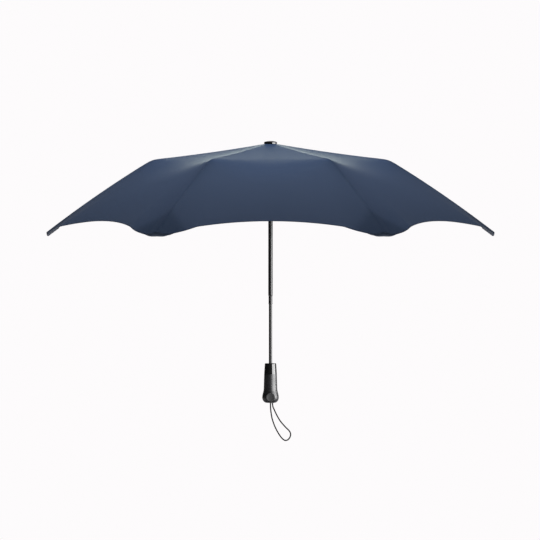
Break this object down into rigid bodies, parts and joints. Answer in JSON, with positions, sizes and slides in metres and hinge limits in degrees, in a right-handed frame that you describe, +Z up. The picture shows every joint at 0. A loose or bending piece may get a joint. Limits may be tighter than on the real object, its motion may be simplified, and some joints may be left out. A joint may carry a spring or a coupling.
{
  "type": "folding umbrella",
  "caption": "Open compact folding umbrella with blunt canopy corners, hinged ribs, telescopic shaft, push-button handle and wrist strap.",
  "frame": {"origin": "centre of the handle on the shaft axis", "axes": "+Z up along the shaft, +X along one rib, the push button faces -Y"},
  "size_m": [1.0032, 0.9082, 0.672],
  "materials": {
    "grip": "matte",
    "button": "satin",
    "gloss": "gloss",
    "moulding": "matte",
    "shaft": "gloss",
    "spring": "bright",
    "wire": "satin",
    "channel": "anodised",
    "rod": "satin",
    "tip": "satin",
    "fabric": "woven",
    "strap": "woven"
  },
  "bodies": {
    "handle": {"handle_grip": "grip", "handle_collar": "gloss", "button_spring": "spring", "strap_anchor": "moulding", "wrist_strap": "strap", "lower_tube": "shaft", "lower_bush": "moulding"},
    "button": {"push_button": "button"},
    "middle_shaft": {"middle_tube": "shaft", "middle_bush": "moulding"},
    "upper_shaft": {"upper_tube": "shaft", "crown": "moulding", "crown_ring": "wire", "crown_pin": "wire", "crown_cap": "gloss", "canopy_washer": "moulding", "canopy": "fabric"},
    "runner": {"runner": "moulding", "runner_ring": "wire"},
    "inner_rib_1": {"inner_rib_1": "channel", "knee_pin_1": "wire"},
    "outer_rib_1": {"outer_rib_1": "rod", "rib_tip_1": "tip"},
    "stretcher_1": {"stretcher_1": "channel"},
    "inner_rib_2": {"inner_rib_2": "channel", "knee_pin_2": "wire"},
    "outer_rib_2": {"outer_rib_2": "rod", "rib_tip_2": "tip"},
    "stretcher_2": {"stretcher_2": "channel"},
    "inner_rib_3": {"inner_rib_3": "channel", "knee_pin_3": "wire"},
    "outer_rib_3": {"outer_rib_3": "rod", "rib_tip_3": "tip"},
    "stretcher_3": {"stretcher_3": "channel"},
    "inner_rib_4": {"inner_rib_4": "channel", "knee_pin_4": "wire"},
    "outer_rib_4": {"outer_rib_4": "rod", "rib_tip_4": "tip"},
    "stretcher_4": {"stretcher_4": "channel"},
    "inner_rib_5": {"inner_rib_5": "channel", "knee_pin_5": "wire"},
    "outer_rib_5": {"outer_rib_5": "rod", "rib_tip_5": "tip"},
    "stretcher_5": {"stretcher_5": "channel"},
    "inner_rib_6": {"inner_rib_6": "channel", "knee_pin_6": "wire"},
    "outer_rib_6": {"outer_rib_6": "rod", "rib_tip_6": "tip"},
    "stretcher_6": {"stretcher_6": "channel"}
  },
  "joints": [
    {"name": "button_press", "type": "slide", "parent": "handle", "child": "button", "axis": [0, 1, 0], "range_m": [0, 0.003], "stiffness_N_per_m": 400, "deforming": ["button_spring"]},
    {"name": "middle_slide", "type": "slide", "parent": "handle", "child": "middle_shaft", "axis": [0, 0, -1], "range_m": [0, 0.138]},
    {"name": "upper_slide", "type": "slide", "parent": "middle_shaft", "child": "upper_shaft", "axis": [0, 0, -1], "range_m": [0, 0.092]},
    {"name": "canopy_fold", "type": "slide", "parent": "upper_shaft", "child": "runner", "axis": [0, 0, -1], "range_m": [0, 0.07714], "deforming": ["canopy"]},
    {"name": "inner_fold_1", "type": "hinge", "parent": "upper_shaft", "child": "inner_rib_1", "pos_m": [0.0105, 0, 0.53], "axis": [0, 1, 0], "range_deg": [0, 78.6]},
    {"name": "outer_fold_1", "type": "hinge", "parent": "inner_rib_1", "child": "outer_rib_1", "pos_m": [0.26196, 0, 0.49312], "axis": [0, 1, 0], "range_deg": [-202.1, 0]},
    {"name": "stretcher_swing_1", "type": "hinge", "parent": "runner", "child": "stretcher_1", "pos_m": [0.0105, 0, 0.47723], "axis": [0, 1, 0], "range_deg": [-50.8, 0]},
    {"name": "inner_fold_2", "type": "hinge", "parent": "upper_shaft", "child": "inner_rib_2", "pos_m": [0.00525, 0.00909, 0.53], "axis": [-0.866, 0.5, 0], "range_deg": [0, 78.6]},
    {"name": "outer_fold_2", "type": "hinge", "parent": "inner_rib_2", "child": "outer_rib_2", "pos_m": [0.13098, 0.22686, 0.49312], "axis": [-0.866, 0.5, 0], "range_deg": [-202.1, 0]},
    {"name": "stretcher_swing_2", "type": "hinge", "parent": "runner", "child": "stretcher_2", "pos_m": [0.00525, 0.00909, 0.47723], "axis": [-0.866, 0.5, 0], "range_deg": [-50.8, 0]},
    {"name": "inner_fold_3", "type": "hinge", "parent": "upper_shaft", "child": "inner_rib_3", "pos_m": [-0.00525, 0.00909, 0.53], "axis": [-0.866, -0.5, 0], "range_deg": [0, 78.6]},
    {"name": "outer_fold_3", "type": "hinge", "parent": "inner_rib_3", "child": "outer_rib_3", "pos_m": [-0.13098, 0.22686, 0.49312], "axis": [-0.866, -0.5, 0], "range_deg": [-202.1, 0]},
    {"name": "stretcher_swing_3", "type": "hinge", "parent": "runner", "child": "stretcher_3", "pos_m": [-0.00525, 0.00909, 0.47723], "axis": [-0.866, -0.5, 0], "range_deg": [-50.8, 0]},
    {"name": "inner_fold_4", "type": "hinge", "parent": "upper_shaft", "child": "inner_rib_4", "pos_m": [-0.0105, 0, 0.53], "axis": [0, -1, 0], "range_deg": [0, 78.6]},
    {"name": "outer_fold_4", "type": "hinge", "parent": "inner_rib_4", "child": "outer_rib_4", "pos_m": [-0.26196, 0, 0.49312], "axis": [0, -1, 0], "range_deg": [-202.1, 0]},
    {"name": "stretcher_swing_4", "type": "hinge", "parent": "runner", "child": "stretcher_4", "pos_m": [-0.0105, 0, 0.47723], "axis": [0, -1, 0], "range_deg": [-50.8, 0]},
    {"name": "inner_fold_5", "type": "hinge", "parent": "upper_shaft", "child": "inner_rib_5", "pos_m": [-0.00525, -0.00909, 0.53], "axis": [0.866, -0.5, 0], "range_deg": [0, 78.6]},
    {"name": "outer_fold_5", "type": "hinge", "parent": "inner_rib_5", "child": "outer_rib_5", "pos_m": [-0.13098, -0.22686, 0.49312], "axis": [0.866, -0.5, 0], "range_deg": [-202.1, 0]},
    {"name": "stretcher_swing_5", "type": "hinge", "parent": "runner", "child": "stretcher_5", "pos_m": [-0.00525, -0.00909, 0.47723], "axis": [0.866, -0.5, 0], "range_deg": [-50.8, 0]},
    {"name": "inner_fold_6", "type": "hinge", "parent": "upper_shaft", "child": "inner_rib_6", "pos_m": [0.00525, -0.00909, 0.53], "axis": [0.866, 0.5, 0], "range_deg": [0, 78.6]},
    {"name": "outer_fold_6", "type": "hinge", "parent": "inner_rib_6", "child": "outer_rib_6", "pos_m": [0.13098, -0.22686, 0.49312], "axis": [0.866, 0.5, 0], "range_deg": [-202.1, 0]},
    {"name": "stretcher_swing_6", "type": "hinge", "parent": "runner", "child": "stretcher_6", "pos_m": [0.00525, -0.00909, 0.47723], "axis": [0.866, 0.5, 0], "range_deg": [-50.8, 0]}
  ],
  "couplings": [
    {"joint": "inner_fold_1", "follows": "canopy_fold", "rad_per_m": 17.769},
    {"joint": "outer_fold_1", "follows": "canopy_fold", "rad_per_m": -45.701},
    {"joint": "stretcher_swing_1", "follows": "canopy_fold", "rad_per_m": -11.487},
    {"joint": "inner_fold_2", "follows": "canopy_fold", "rad_per_m": 17.769},
    {"joint": "outer_fold_2", "follows": "canopy_fold", "rad_per_m": -45.701},
    {"joint": "stretcher_swing_2", "follows": "canopy_fold", "rad_per_m": -11.487},
    {"joint": "inner_fold_3", "follows": "canopy_fold", "rad_per_m": 17.769},
    {"joint": "outer_fold_3", "follows": "canopy_fold", "rad_per_m": -45.701},
    {"joint": "stretcher_swing_3", "follows": "canopy_fold", "rad_per_m": -11.487},
    {"joint": "inner_fold_4", "follows": "canopy_fold", "rad_per_m": 17.769},
    {"joint": "outer_fold_4", "follows": "canopy_fold", "rad_per_m": -45.701},
    {"joint": "stretcher_swing_4", "follows": "canopy_fold", "rad_per_m": -11.487},
    {"joint": "inner_fold_5", "follows": "canopy_fold", "rad_per_m": 17.769},
    {"joint": "outer_fold_5", "follows": "canopy_fold", "rad_per_m": -45.701},
    {"joint": "stretcher_swing_5", "follows": "canopy_fold", "rad_per_m": -11.487},
    {"joint": "inner_fold_6", "follows": "canopy_fold", "rad_per_m": 17.769},
    {"joint": "outer_fold_6", "follows": "canopy_fold", "rad_per_m": -45.701},
    {"joint": "stretcher_swing_6", "follows": "canopy_fold", "rad_per_m": -11.487}
  ]
}
